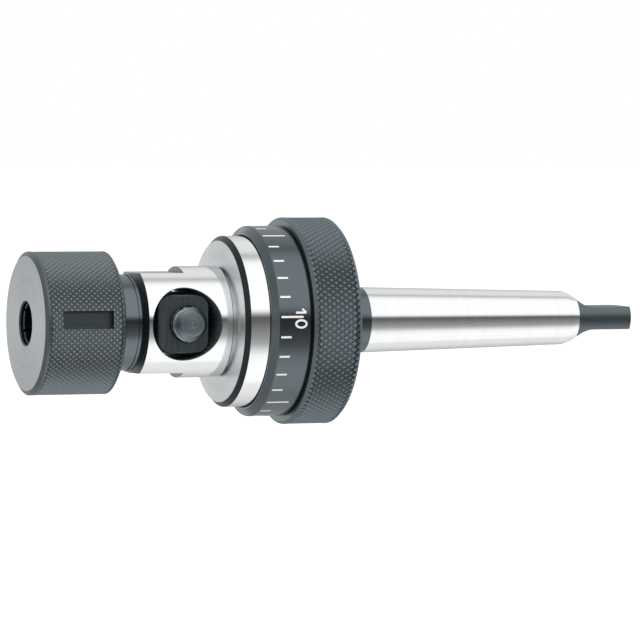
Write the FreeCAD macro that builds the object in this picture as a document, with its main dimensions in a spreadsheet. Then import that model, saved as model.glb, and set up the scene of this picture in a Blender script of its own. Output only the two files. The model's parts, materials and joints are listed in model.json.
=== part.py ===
import FreeCAD, Part
import math
import os
import re
import Sketcher

# Tap holder with a Morse taper shank, an adjustable multi-plate slip clutch, a collet clamped by a
# knurled cap and two jaws that grip the square of the tap.
# X is the tool axis: the tap points along -X and the tang along +X. The origin is the centre of the
# taper's gage plane, and +Z is normal to the wrench flats and to the flats of the tang.

os.makedirs("parts", exist_ok=True)
doc = FreeCAD.newDocument("TapHolder")
sheet = doc.addObject("Spreadsheet::Sheet", "Sizes")

DIMENSIONS = {
    # Clearances
    "running_gap": 0.05,
    "face_gap": 0.05,
    "free_gap": 0.3,
    "seat_gap": 0.02,
    # Broken edges, lead-in chamfers and the run of a cut past the metal
    "edge_break": 0.3,
    "plate_edge": 0.1,
    "lead_chamfer": 0.6,
    "overrun": 1.0,
    # Morse taper No. 2 shank with a tang
    "gage_dia": 17.780,
    "taper_run_per_unit": 20.020,
    "gage_standoff": 5.0,
    "shank_tail_length": 75.0,
    "tang_length": 17.2,
    "tang_flat_length": 11.8,
    "tang_dia": 13.5,
    "tang_thickness": 6.3,
    "tang_cutter_radius": 6.0,
    "tang_edge": 1.2,
    "taper_end_chamfer": 2.3,
    "collar_dia": 17.8,
    "collar_exposed": 10.2,
    # Drive disc, spline hub and pilot of the shank
    "drive_disc_inset": 0.2,
    "drive_disc_thickness": 3.0,
    "hub_tip_dia": 24.0,
    "hub_root_flat": 10.8,
    "spline_count": 8,
    "spline_gap_width": 4.6,
    "spline_clearance": 0.15,
    "pilot_dia": 12.0,
    "pilot_length": 10.2,
    # Clutch plates and springs
    "plate_gap": 0.2,
    "driven_plate_bore": 24.8,
    "driven_plate_thickness": 1.5,
    "friction_plate_thickness": 1.8,
    "friction_plate_inset": 0.4,
    "pressure_plate_thickness": 3.5,
    "plate_lug_count": 4,
    "plate_lug_width": 6.0,
    "plate_lug_inset": 2.0,
    "lug_slot_clearance": 0.1,
    "spring_inset": 0.8,
    "spring_bore": 19.2,
    "spring_thickness": 0.8,
    "spring_rise": 0.3,
    "seat_thickness": 1.0,
    # Thrust bearing between the flange and the drive disc
    "race_thickness": 1.0,
    "race_dia": 32.0,
    "needle_dia": 2.0,
    "needle_length": 5.5,
    "needle_count": 16,
    "cage_dia": 31.0,
    "cage_bore": 14.0,
    "cage_thickness": 1.6,
    # Polished clutch flange
    "flange_dia": 46.6,
    "flange_plate": 5.6,
    "flange_chamfer": 1.3,
    "flange_rim_length": 15.6,
    "skirt_step": 1.3,
    "skirt_wall": 3.6,
    "skirt_tail": 2.1,
    # Knurled torque ring and its graduated dial
    "ring_rise": 2.3,
    "ring_length": 14.0,
    "ring_web": 2.9,
    "ring_edge": 0.8,
    "ring_groove_depth": 0.35,
    "ring_groove_land": 0.7,
    "ring_hub_wall": 1.0,
    "ring_relief_length": 0.8,
    "dial_wall": 1.38,
    "dial_length": 10.6,
    "dial_cone_length": 1.55,
    "dial_lip_length": 0.9,
    "dial_nose_width": 0.3,
    "dial_tail_edge": 0.2,
    "seal_dia": 22.0,
    "seal_width": 1.3,
    # Polished front body
    "body_dia": 30.2,
    "body_length": 25.25,
    "body_nose_chamfer": 1.8,
    "body_nose_chamfer_length": 1.3,
    "body_tail_chamfer": 0.3,
    "body_neck_dia": 27.0,
    "body_neck_length": 0.65,
    "flats_width": 27.0,
    "flats_length": 13.7,
    "spigot_dia": 22.0,
    "bush_bore_dia": 16.0,
    "nose_spigot_dia": 22.4,
    "nose_spigot_length": 5.8,
    "jaw_chamber_dia": 18.0,
    "cross_hole_dia": 19.3,
    "cross_hole_setback": 12.05,
    "cross_hole_edge": 0.25,
    "fork_passage_dia": 12.2,
    "fork_base_thickness": 1.5,
    "dowel_dia": 2.5,
    "dowel_length": 4.5,
    "dowel_count": 2,
    # Jaws and their left and right hand spindle
    "jaw_width": 14.5,
    "jaw_height": 15.7,
    "jaw_outer_face": 11.7,
    "jaw_inner_face": 2.2,
    "jaw_edge": 0.35,
    "jaw_corner": 3.2,
    "jaw_nose_length": 7.8,
    "jaw_nose_height": 7.8,
    "jaw_nose_thickness": 3.1,
    "tap_square": 5.0,
    "jaw_groove_width": 1.6,
    "spindle_offset": 1.3,
    "spindle_dia": 10.0,
    "spindle_length": 31.2,
    "spindle_cone_length": 2.75,
    "spindle_tip_dia": 6.6,
    "spindle_neck_dia": 6.8,
    "spindle_neck_length": 2.0,
    "key_socket_width": 4.0,
    "key_socket_depth": 4.0,
    "fork_height": 11.4,
    "fork_reach": 3.4,
    "fork_side_gap": 0.1,
    # Collet holder, collet and knurled clamping cap
    "holder_dia": 26.0,
    "holder_exposed": 6.8,
    "holder_groove": 0.35,
    "holder_groove_width": 0.6,
    "holder_groove_setback": 0.7,
    "holder_thread_dia": 24.4,
    "holder_thread_length": 16.0,
    "collet_mouth_dia": 19.4,
    "collet_half_angle": 8.0,
    "holder_taper_length": 15.8,
    "collet_end_setback": 0.7,
    "collet_bore": 11.0,
    "collet_head_length": 2.4,
    "collet_head_dia": 18.6,
    "collet_head_front_dia": 15.6,
    "collet_groove_width": 2.0,
    "collet_groove_dia": 17.0,
    "collet_slot_width": 0.8,
    "collet_slot_count": 6,
    "collet_slot_web": 3.2,
    "collet_slot_clock": 7.5,
    "cap_dia": 38.5,
    "cap_front_wall": 1.05,
    "cap_edge_rise": 1.2,
    "cap_edge_run": 0.7,
    "cap_bore": 11.6,
    "cap_bore_edge": 0.35,
    "cap_cavity_dia": 20.4,
    "cap_skirt_overlap": 0.6,
    "extractor_dia": 21.6,
    "extractor_thickness": 0.9,
    "spanner_slot_length": 14.1,
    "spanner_slot_width": 4.85,
    "spanner_slot_depth": 2.2,
    "spanner_slot_setback": 3.7,
    "spanner_slot_count": 2,
    "spanner_slot_clock": 5.3,
}

# Disc springs in the stack
SPRINGS = 4

# Places along the tool axis, and diameters that follow from the flange and the walls round it
DERIVED = {
    "collar_rear": "-gage_standoff",
    "ring_rear": "collar_rear - collar_exposed",
    "web_front": "ring_rear - ring_web",
    "ring_front": "ring_rear - ring_length",
    "dial_front": "ring_front - dial_length",
    "hub_front": "dial_front + dial_lip_length",
    "seat_front": "web_front - face_gap - seat_thickness",
    "spring_pitch": "spring_thickness + spring_rise",
    "springs_front": f"seat_front - face_gap - {SPRINGS} * spring_pitch",
    "pressure_front": "springs_front - face_gap - pressure_plate_thickness",
    "friction_2_front": "pressure_front - face_gap - friction_plate_thickness",
    "driven_2_front": "friction_2_front - face_gap - driven_plate_thickness",
    "friction_1_front": "driven_2_front - face_gap - friction_plate_thickness",
    "driven_1_front": "friction_1_front - face_gap - driven_plate_thickness",
    "disc_rear": "driven_1_front - face_gap",
    "disc_front": "disc_rear - drive_disc_thickness",
    "rear_race_front": "disc_front - race_thickness",
    "needles_front": "rear_race_front - needle_dia",
    "flange_seat": "needles_front - race_thickness",
    "flange_front": "flange_seat - flange_plate",
    "rim_rear": "flange_front + flange_rim_length",
    "skirt_rear": "web_front - skirt_tail",
    "hub_rear": "pressure_front + spline_clearance",
    "body_tail": "flange_front - body_neck_length",
    "body_nose": "body_tail - body_length",
    "cross_axis": "body_nose + cross_hole_setback",
    "spindle_axis": "cross_axis + spindle_offset",
    "nose_spigot_front": "body_nose - nose_spigot_length",
    "fork_base_rear": "disc_front - pilot_length - 2 * free_gap",
    "fork_base_front": "fork_base_rear - fork_base_thickness",
    "holder_shoulder": "body_nose - holder_exposed",
    "holder_front": "holder_shoulder - holder_thread_length",
    "collet_seat_rear": "holder_front + holder_taper_length",
    "collet_seat_radius": "collet_mouth_dia / 2 - holder_taper_length * tan(collet_half_angle * 1deg)",
    "collet_rear": "collet_seat_rear - collet_end_setback",
    "collet_head_rear": "holder_front - free_gap - collet_groove_width",
    "collet_front": "collet_head_rear - collet_head_length",
    "cap_front": "collet_front - running_gap - cap_front_wall",
    "cap_rear": "holder_shoulder + cap_skirt_overlap",
    "skirt_thread_dia": "flange_dia - 2 * skirt_step",
    "skirt_bore": "skirt_thread_dia - 2 * skirt_wall",
    "plate_dia": "skirt_bore - 2 * plate_gap",
    "plate_lug_reach": "skirt_thread_dia / 2 - plate_lug_inset",
    "friction_plate_dia": "plate_dia - 2 * friction_plate_inset",
    "spring_outer_dia": "plate_dia - 2 * spring_inset",
    "drive_disc_dia": "plate_dia - 2 * drive_disc_inset",
    "ring_hub_dia": "flange_dia + 2 * (free_gap + ring_hub_wall)",
    "ring_groove_inner": "ring_hub_dia + 2 * ring_groove_land",
    "dial_dia": "ring_hub_dia + 2 * (seat_gap + dial_wall)",
    "ring_dia": "dial_dia + 2 * ring_rise",
}

for row, (alias, number) in enumerate(DIMENSIONS.items(), start=1):
    sheet.set(f"A{row}", alias)
    sheet.set(f"B{row}", str(number))
    sheet.setAlias(f"B{row}", alias)
doc.recompute()


# What a sketch dimension holds before its expression fills it in
START_VALUE = 1.0


def bound(expression):
    """Spell out the derived names in an expression and point the others at the sheet."""
    def resolve(match):
        name = match.group(0)
        if name in DERIVED:
            return "(" + bound(DERIVED[name]) + ")"
        if name in DIMENSIONS:
            return "Sizes." + name
        return name
    return re.sub(r"[a-z_][a-z_0-9]*", resolve, expression)


def origin_feature(body, role):
    return next(item for item in body.Origin.OriginFeatures if item.Role == role)


def new_body(name):
    body = doc.addObject("PartDesign::Body", name)
    body.Label = name
    return body


def new_sketch(body, name, plane, offset="0", turn="0", shift="0"):
    """Sketch on a plane of the body's origin, moved along and turned about the plane's normal.

    The shift moves the sketch's own origin along its first direction.
    """
    sketch = body.newObject("Sketcher::SketchObject", f"{body.Name}_{name}")
    sketch.AttachmentSupport = [(origin_feature(body, plane), "")]
    sketch.MapMode = "FlatFace"
    unturned = FreeCAD.Rotation(FreeCAD.Vector(0, 0, 1), 0)
    sketch.AttachmentOffset = FreeCAD.Placement(FreeCAD.Vector(), unturned)
    if offset != "0":
        sketch.setExpression("AttachmentOffset.Base.z", bound(offset))
    if shift != "0":
        sketch.setExpression("AttachmentOffset.Base.x", bound(shift))
    if turn != "0":
        sketch.AttachmentOffset.Rotation.Axis = FreeCAD.Vector(0, 0, 1)
        sketch.setExpression("AttachmentOffset.Rotation.Angle", bound(f"({turn}) * 1deg"))
    return sketch


def pin_point(sketch, item, end, across, along):
    """Hold one point of the sketch at the distances across and along from its origin."""
    for kind, axis, distance in (("DistanceX", -2, across), ("DistanceY", -1, along)):
        if distance == "0":
            sketch.addConstraint(Sketcher.Constraint("PointOnObject", item, end, axis))
        else:
            index = sketch.addConstraint(Sketcher.Constraint(kind, -1, 1, item, end, START_VALUE))
            sketch.setExpression(f"Constraints[{index}]", bound(distance))


def add_polygon(sketch, points):
    """Closed outline of straight lines, each corner held by its two distances."""
    first = sketch.GeometryCount
    count = len(points)
    rough = []
    for i in range(count):
        rough.append(FreeCAD.Vector(math.cos(math.tau * i / count), math.sin(math.tau * i / count)))
    for i in range(count):
        sketch.addGeometry(Part.LineSegment(rough[i], rough[(i + 1) % count]), False)
    for i in range(count):
        sketch.addConstraint(Sketcher.Constraint("Coincident", first + i, 2, first + (i + 1) % count, 1))
    for i, (across, along) in enumerate(points):
        pin_point(sketch, first + i, 1, across, along)


def add_rectangle(sketch, left, right, low, high):
    add_polygon(sketch, [(left, low), (right, low), (right, high), (left, high)])


def add_circle(sketch, across, along, radius):
    circle = sketch.addGeometry(Part.Circle(FreeCAD.Vector(), FreeCAD.Vector(0, 0, 1), START_VALUE), False)
    pin_point(sketch, circle, 3, across, along)
    index = sketch.addConstraint(Sketcher.Constraint("Radius", circle, START_VALUE))
    sketch.setExpression(f"Constraints[{index}]", bound(radius))


def add_rounded_rectangle(sketch, width, height, radius):
    """Rectangle about the sketch's origin with a round at each corner, from three driving sizes."""
    size = DIMENSIONS[radius]
    quarter = math.pi / 2
    corners = []
    for turn, (right, up) in enumerate(((1, 1), (-1, 1), (-1, -1), (1, -1))):
        across = right * (DIMENSIONS[width] / 2 - size)
        along = up * (DIMENSIONS[height] / 2 - size)
        circle = Part.Circle(FreeCAD.Vector(across, along), FreeCAD.Vector(0, 0, 1), size)
        arc = sketch.addGeometry(Part.ArcOfCircle(circle, turn * quarter, (turn + 1) * quarter), False)
        for constraint, expression in (
            (Sketcher.Constraint("DistanceX", -1, 1, arc, 3, across), f"{right} * ({width} / 2 - {radius})"),
            (Sketcher.Constraint("DistanceY", -1, 1, arc, 3, along), f"{up} * ({height} / 2 - {radius})"),
            (Sketcher.Constraint("Radius", arc, size), radius),
        ):
            index = sketch.addConstraint(constraint)
            sketch.setExpression(f"Constraints[{index}]", bound(expression))
        corners.append(arc)
    for here, there in zip(corners, corners[1:] + corners[:1]):
        side = Part.LineSegment(sketch.Geometry[here].EndPoint, sketch.Geometry[there].StartPoint)
        line = sketch.addGeometry(side, False)
        sketch.addConstraint(Sketcher.Constraint("Tangent", here, 2, line, 1))
        sketch.addConstraint(Sketcher.Constraint("Tangent", line, 2, there, 1))


def revolve(body, points, axis="H_Axis"):
    """Turn an outline of (along the axis, radius) corners into the body's first solid."""
    sketch = new_sketch(body, "outline", "XY_Plane")
    add_polygon(sketch, points)
    turned = body.newObject("PartDesign::Revolution", f"{body.Name}_turned")
    turned.Profile = sketch
    turned.ReferenceAxis = (sketch, [axis])
    turned.Angle = 360
    doc.recompute()
    return turned


def pad(body, sketch, length, side="One side", reverse=False):
    feature = body.newObject("PartDesign::Pad", f"{sketch.Name}_pad")
    feature.Profile = sketch
    feature.Type = "Length"
    feature.SideType = side
    feature.Reversed = reverse
    feature.setExpression("Length", bound(length))
    doc.recompute()
    return feature


def pocket(body, sketch, length=None, side="One side", reverse=False):
    """Cut the sketch out of the body, to a length or through all of it."""
    before = body.Shape.Volume
    feature = body.newObject("PartDesign::Pocket", f"{sketch.Name}_pocket")
    feature.Profile = sketch
    feature.Type = "Length" if length else "ThroughAll"
    feature.SideType = side
    feature.Reversed = reverse
    if length:
        feature.setExpression("Length", bound(length))
    doc.recompute()
    if body.Shape.Volume >= before:
        raise ValueError(f"{feature.Name} cuts nothing")
    return feature


def repeat_around(body, feature, count):
    """Repeat a feature evenly about the tool axis."""
    pattern = body.newObject("PartDesign::PolarPattern", f"{feature.Name}_around")
    pattern.Originals = [feature]
    pattern.Axis = (origin_feature(body, "X_Axis"), [""])
    pattern.Angle = 360
    pattern.setExpression("Occurrences", bound(count))
    body.Tip = pattern
    doc.recompute()
    return pattern


def bevel(body, feature, size, chosen):
    """Chamfer the edges of a feature that the test picks."""
    names = [f"Edge{i}" for i, edge in enumerate(feature.Shape.Edges, start=1) if chosen(edge)]
    chamfer = body.newObject("PartDesign::Chamfer", f"{feature.Name}_bevel")
    chamfer.Base = (feature, names)
    chamfer.setExpression("Size", bound(size))
    doc.recompute()
    return chamfer


def disc(name, front, thickness, bore, dia, edge="plate_edge"):
    """Flat round piece with a bore and broken edges, standing at its own place on the axis."""
    body = new_body(name)
    revolve(body, [
        ("0", f"{bore} / 2"),
        ("0", f"{dia} / 2 - {edge}"),
        (edge, f"{dia} / 2"),
        (f"{thickness} - {edge}", f"{dia} / 2"),
        (thickness, f"{dia} / 2 - {edge}"),
        (thickness, f"{bore} / 2"),
    ])
    body.setExpression("Placement.Base.x", bound(front))
    return body


def make_morse_shank():
    """Taper, tang, collar, splined hub, drive disc and pilot, turned from one bar."""
    body = new_body("morse_shank")
    taper_end = "(shank_tail_length - tang_length - taper_end_chamfer)"
    revolve(body, [
        ("disc_front - pilot_length", "0"),
        ("disc_front - pilot_length", "pilot_dia / 2 - lead_chamfer"),
        ("disc_front - pilot_length + lead_chamfer", "pilot_dia / 2"),
        ("disc_front", "pilot_dia / 2"),
        ("disc_front", "drive_disc_dia / 2"),
        ("disc_rear", "drive_disc_dia / 2"),
        ("disc_rear", "hub_tip_dia / 2"),
        ("hub_rear", "hub_tip_dia / 2"),
        ("hub_rear", "collar_dia / 2"),
        ("collar_rear", "collar_dia / 2"),
        ("collar_rear", "gage_dia / 2 + gage_standoff / taper_run_per_unit / 2"),
        (taper_end, f"gage_dia / 2 - {taper_end} / taper_run_per_unit / 2"),
        ("shank_tail_length - tang_length", "tang_dia / 2"),
        ("shank_tail_length - tang_edge", "tang_dia / 2"),
        ("shank_tail_length", "tang_dia / 2 - tang_edge"),
        ("shank_tail_length", "0"),
    ])
    gap = new_sketch(body, "spline_gap", "YZ_Plane", "disc_rear")
    add_rectangle(gap, "-spline_gap_width / 2", "spline_gap_width / 2",
                  "hub_root_flat", "hub_tip_dia / 2 + overrun")
    cut = pocket(body, gap, "hub_rear - disc_rear", reverse=True)
    repeat_around(body, cut, "spline_count")
    mill_tang(body)
    return body


def mill_tang(body):
    """Two flats on the tail, each running out along the radius of the disc cutter."""
    flat_end = "shank_tail_length - tang_flat_length"
    cutter = new_sketch(body, "tang_cutter", "XZ_Plane")
    for sign in ("", "-"):
        height = f"{sign}(tang_thickness / 2 + tang_cutter_radius)"
        add_circle(cutter, flat_end, height, "tang_cutter_radius")
    pocket(body, cutter, side="Symmetric")
    flats = new_sketch(body, "tang_flats", "XZ_Plane")
    for low, high in (("tang_thickness / 2", "tang_dia"), ("-tang_dia", "-tang_thickness / 2")):
        add_rectangle(flats, flat_end, "shank_tail_length + overrun", low, high)
    pocket(body, flats, side="Symmetric")


def add_lugs(body, thickness):
    """Square lugs round a clutch plate that run in the slots of the skirt."""
    lug = new_sketch(body, "lug", "YZ_Plane")
    add_rectangle(lug, "-plate_lug_width / 2", "plate_lug_width / 2",
                  "plate_dia / 2 - overrun", "plate_lug_reach")
    repeat_around(body, pad(body, lug, thickness), "plate_lug_count")


def make_driven_plate(number):
    body = disc(f"driven_plate_{number}", f"driven_{number}_front", "driven_plate_thickness",
                "driven_plate_bore", "plate_dia")
    add_lugs(body, "driven_plate_thickness")
    return body


def make_friction_plate(number):
    """Lined plate with teeth inside its bore that sit in the gaps of the splined hub."""
    body = disc(f"friction_plate_{number}", f"friction_{number}_front", "friction_plate_thickness",
                "(hub_tip_dia + 2 * spline_clearance)", "friction_plate_dia")
    tooth = new_sketch(body, "tooth", "YZ_Plane")
    half = "(spline_gap_width / 2 - spline_clearance)"
    add_rectangle(tooth, f"-{half}", half, "hub_root_flat + spline_clearance",
                  "hub_tip_dia / 2 + overrun")
    repeat_around(body, pad(body, tooth, "friction_plate_thickness"), "spline_count")
    return body


def make_pressure_plate():
    body = disc("pressure_plate", "pressure_front", "pressure_plate_thickness",
                "driven_plate_bore", "plate_dia", "edge_break")
    add_lugs(body, "pressure_plate_thickness")
    return body


def make_disc_spring(number):
    """Coned washer, every other one turned round so that they bear on each other's edges."""
    body = new_body(f"disc_spring_{number}")
    near, far = ("spring_outer_dia", "spring_bore") if number % 2 else ("spring_bore", "spring_outer_dia")
    revolve(body, [
        ("0", f"{near} / 2"),
        ("spring_thickness", f"{near} / 2"),
        ("spring_pitch", f"{far} / 2"),
        ("spring_rise", f"{far} / 2"),
    ])
    body.setExpression("Placement.Base.x", bound(f"springs_front + {number - 1} * spring_pitch"))
    return body


def make_adjusting_ring():
    """Knurled ring: a rear web behind the springs, a thread on the skirt and a hub for the dial."""
    body = new_body("adjusting_ring")
    web_bore = "collar_dia / 2 + free_gap"
    face = "ring_front + ring_groove_depth"
    seal_rear = "web_front + (ring_web + seal_width) / 2"
    seal_front = "web_front + (ring_web - seal_width) / 2"
    revolve(body, [
        ("hub_front", "flange_dia / 2 + free_gap"),
        ("hub_front", "ring_hub_dia / 2"),
        ("ring_front", "ring_hub_dia / 2"),
        ("ring_front", "ring_groove_inner / 2"),
        (face, "ring_groove_inner / 2"),
        (face, "ring_dia / 2 - ring_edge"),
        (f"{face} + ring_edge", "ring_dia / 2"),
        ("ring_rear - ring_edge", "ring_dia / 2"),
        ("ring_rear", "ring_dia / 2 - ring_edge"),
        ("ring_rear", f"{web_bore} + edge_break"),
        ("ring_rear - edge_break", web_bore),
        (seal_rear, web_bore),
        (seal_rear, "seal_dia / 2"),
        (seal_front, "seal_dia / 2"),
        (seal_front, web_bore),
        ("web_front", web_bore),
        ("web_front", "skirt_thread_dia / 2 + running_gap"),
        ("rim_rear + ring_relief_length", "skirt_thread_dia / 2 + running_gap"),
        ("rim_rear + ring_relief_length", "flange_dia / 2 + free_gap"),
    ])
    return body


def make_dial_ring():
    """Graduated ring pressed on the hub of the knurled ring, with a coned nose over the flange rim."""
    body = new_body("dial_ring")
    nose = "flange_dia / 2 + free_gap"
    hub = "ring_hub_dia / 2 + seat_gap"
    revolve(body, [
        ("dial_front", nose),
        ("dial_front", f"{nose} + dial_nose_width"),
        ("dial_front + dial_cone_length", "dial_dia / 2"),
        ("ring_front - dial_tail_edge", "dial_dia / 2"),
        ("ring_front", "dial_dia / 2 - dial_tail_edge"),
        ("ring_front", hub),
        ("hub_front - seat_gap", hub),
        ("hub_front - seat_gap", nose),
    ])
    return body


def make_clutch_flange():
    """Polished flange with a rim under the dial and a threaded skirt that holds the plates."""
    body = new_body("clutch_flange")
    spigot = "spigot_dia / 2 + seat_gap"
    revolve(body, [
        ("flange_front", spigot),
        ("flange_front", "flange_dia / 2 - flange_chamfer"),
        ("flange_front + flange_chamfer", "flange_dia / 2"),
        ("rim_rear", "flange_dia / 2"),
        ("rim_rear", "skirt_thread_dia / 2"),
        ("skirt_rear - lead_chamfer", "skirt_thread_dia / 2"),
        ("skirt_rear", "skirt_thread_dia / 2 - lead_chamfer"),
        ("skirt_rear", "skirt_bore / 2"),
        ("flange_seat", "skirt_bore / 2"),
        ("flange_seat", spigot),
    ])
    slot = new_sketch(body, "lug_slot", "YZ_Plane", "skirt_rear")
    half = "(plate_lug_width / 2 + lug_slot_clearance)"
    add_rectangle(slot, f"-{half}", half, "skirt_bore / 2 - overrun", "plate_lug_reach + free_gap")
    cut = pocket(body, slot, "skirt_rear - driven_1_front + free_gap")
    repeat_around(body, cut, "plate_lug_count")
    drill_dowel_holes(body)
    return body


def drill_dowel_holes(body):
    """Half holes for the dowels on the joint of the flange and the spigot of the body."""
    sketch = new_sketch(body, "dowel_hole", "YZ_Plane", "flange_seat")
    add_circle(sketch, "0", "spigot_dia / 2", "dowel_dia / 2")
    repeat_around(body, pocket(body, sketch, "dowel_length + free_gap"), "dowel_count")


def make_front_body():
    """Polished body: jaw chamber with its cross hole, wrench flats and a screwed spigot at each end."""
    body = new_body("front_body")
    revolve(body, [
        ("nose_spigot_front", "jaw_chamber_dia / 2"),
        ("nose_spigot_front", "nose_spigot_dia / 2 - lead_chamfer"),
        ("nose_spigot_front + lead_chamfer", "nose_spigot_dia / 2"),
        ("body_nose", "nose_spigot_dia / 2"),
        ("body_nose", "body_dia / 2 - body_nose_chamfer"),
        ("body_nose + body_nose_chamfer_length", "body_dia / 2"),
        ("body_tail - body_tail_chamfer", "body_dia / 2"),
        ("body_tail", "body_dia / 2 - body_tail_chamfer"),
        ("body_tail", "body_neck_dia / 2"),
        ("flange_front", "body_neck_dia / 2"),
        ("flange_front", "spigot_dia / 2"),
        ("flange_seat", "spigot_dia / 2"),
        ("flange_seat", "bush_bore_dia / 2"),
        ("fork_base_front", "bush_bore_dia / 2"),
        ("fork_base_front", "fork_passage_dia / 2"),
        ("cross_axis", "fork_passage_dia / 2"),
        ("cross_axis", "jaw_chamber_dia / 2"),
    ])
    hole = new_sketch(body, "cross_hole", "XZ_Plane")
    add_circle(hole, "cross_axis", "0", "cross_hole_dia / 2")
    drilled = pocket(body, hole, side="Symmetric")
    limit = DIMENSIONS["cross_hole_dia"] * 2
    outside = DIMENSIONS["jaw_chamber_dia"] / 2
    bevel(body, drilled, "cross_hole_edge",
          lambda edge: limit < edge.Length < limit * 2 and abs(edge.CenterOfMass.y) > outside)
    flats = new_sketch(body, "wrench_flats", "YZ_Plane", "body_nose")
    for low, high in (("flats_width / 2", "body_dia"), ("-body_dia", "-flats_width / 2")):
        add_rectangle(flats, "-body_dia", "body_dia", low, high)
    pocket(body, flats, "flats_length", reverse=True)
    drill_dowel_holes(body)
    return body


def make_jaw(name, side):
    """Block with round corners, bored for the spindle, with a nose that reaches to the tap's square.

    It is milled from a round plug that fits the cross hole, so it stays inside the hole.
    """
    body = new_body(name)
    sign = "-" if side < 0 else ""
    plug = new_sketch(body, "plug", "XZ_Plane", "jaw_inner_face" if side < 0 else "-jaw_inner_face")
    add_circle(plug, "cross_axis", "0", "cross_hole_dia / 2 - 2 * running_gap")
    round_plug = pad(body, plug, "jaw_outer_face - jaw_inner_face", reverse=side > 0)
    frame = new_sketch(body, "outside", "XZ_Plane", shift="cross_axis")
    add_rectangle(frame, "-cross_hole_dia", "cross_hole_dia", "-cross_hole_dia", "cross_hole_dia")
    add_rounded_rectangle(frame, "jaw_width", "jaw_height", "jaw_corner")
    milled = pocket(body, frame, side="Symmetric")
    face = DIMENSIONS["jaw_outer_face"]
    bevel(body, milled, "jaw_edge", lambda edge: abs(abs(edge.CenterOfMass.y) - face) < 0.01)
    nose = new_sketch(body, "nose", "XY_Plane")
    near = f"{sign}tap_square / 2"
    far = f"{sign}(tap_square / 2 + jaw_nose_thickness)"
    add_rectangle(nose, "cross_axis - jaw_width / 2 - jaw_nose_length", "cross_axis - jaw_width / 4",
                  near, far)
    pad(body, nose, "jaw_nose_height", side="Symmetric")
    groove = new_sketch(body, "grip_groove", "YZ_Plane", "cross_axis - jaw_width / 2 - jaw_nose_length")
    depth = f"{sign}(tap_square / 2 + jaw_groove_width / 2)"
    add_polygon(groove, [(near, "-jaw_groove_width / 2"), (near, "jaw_groove_width / 2"), (depth, "0")])
    pocket(body, groove, "jaw_nose_length", reverse=True)
    bore = new_sketch(body, "spindle_bore", "XZ_Plane")
    add_circle(bore, "spindle_axis", "0", "spindle_dia / 2 + running_gap")
    pocket(body, bore, side="Symmetric")
    return body


def make_jaw_spindle():
    """Spindle with a thread of each hand, coned ends, a neck for the fork and a key socket."""
    body = new_body("jaw_spindle")
    end = "spindle_length / 2"
    revolve(body, [
        ("0", f"-{end}"),
        ("spindle_tip_dia / 2", f"-{end}"),
        ("spindle_dia / 2", f"-{end} + spindle_cone_length"),
        ("spindle_dia / 2", "-spindle_neck_length / 2"),
        ("spindle_neck_dia / 2", "-spindle_neck_length / 2"),
        ("spindle_neck_dia / 2", "spindle_neck_length / 2"),
        ("spindle_dia / 2", "spindle_neck_length / 2"),
        ("spindle_dia / 2", f"{end} - spindle_cone_length"),
        ("spindle_tip_dia / 2", end),
        ("0", end),
    ], axis="V_Axis")
    socket = new_sketch(body, "key_socket", "XZ_Plane", f"-{end}")
    corner = "(key_socket_width / cos(30deg) / 2)"
    add_polygon(socket, [
        (corner, "0"),
        (f"{corner} / 2", "key_socket_width / 2"),
        (f"-{corner} / 2", "key_socket_width / 2"),
        (f"-{corner}", "0"),
        (f"-{corner} / 2", "-key_socket_width / 2"),
        (f"{corner} / 2", "-key_socket_width / 2"),
    ])
    pocket(body, socket, "key_socket_depth", reverse=True)
    body.setExpression("Placement.Base.x", bound("spindle_axis"))
    return body


def make_spindle_fork():
    """Fork that holds the neck of the spindle, on a round base in the body's rear bore."""
    body = new_body("spindle_fork")
    base = "bush_bore_dia / 2 - running_gap"
    revolve(body, [
        ("fork_base_front", "0"),
        ("fork_base_front", base),
        ("fork_base_rear", base),
        ("fork_base_rear", "0"),
    ])
    plate = new_sketch(body, "plate", "XZ_Plane")
    add_rectangle(plate, "spindle_axis - fork_reach", "fork_base_rear - fork_base_thickness / 2",
                  "-fork_height / 2", "fork_height / 2")
    pad(body, plate, "spindle_neck_length - 2 * fork_side_gap", side="Symmetric")
    seat = "(spindle_neck_dia / 2 + running_gap)"
    round_seat = new_sketch(body, "neck_seat", "XZ_Plane")
    add_circle(round_seat, "spindle_axis", "0", seat)
    pocket(body, round_seat, side="Symmetric")
    mouth = new_sketch(body, "mouth", "XZ_Plane")
    add_rectangle(mouth, "spindle_axis - fork_reach - overrun", "spindle_axis", f"-{seat}", seat)
    pocket(body, mouth, side="Symmetric")
    return body


def make_pilot_bush():
    """Plain bush in the body's rear bore, in which the pilot of the shank turns."""
    body = new_body("pilot_bush")
    front = "fork_base_rear + face_gap"
    rear = "flange_seat - free_gap"
    bore = "pilot_dia / 2 + running_gap"
    outside = "bush_bore_dia / 2 - seat_gap"
    revolve(body, [
        (front, bore),
        (front, f"{outside} - edge_break"),
        (f"{front} + edge_break", outside),
        (rear, outside),
        (rear, f"{bore} + edge_break"),
        (f"{rear} - edge_break", bore),
    ])
    return body


def make_needle_cage():
    """Flat cage with a radial window for each needle of the thrust bearing."""
    body = disc("needle_cage", "needles_front + (needle_dia - cage_thickness) / 2", "cage_thickness",
                "cage_bore", "cage_dia")
    window = new_sketch(body, "window", "YZ_Plane")
    half = "(needle_dia / 2 + running_gap)"
    inner = "((cage_bore + cage_dia) / 4 - needle_length / 2 - running_gap)"
    outer = "((cage_bore + cage_dia) / 4 + needle_length / 2 + running_gap)"
    add_rectangle(window, f"-{half}", half, inner, outer)
    repeat_around(body, pocket(body, window, "cage_thickness", reverse=True), "needle_count")
    return body


def make_group(name, pieces):
    group = doc.addObject("Part::Compound", name)
    group.Label = name
    group.Links = pieces
    return group


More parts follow.
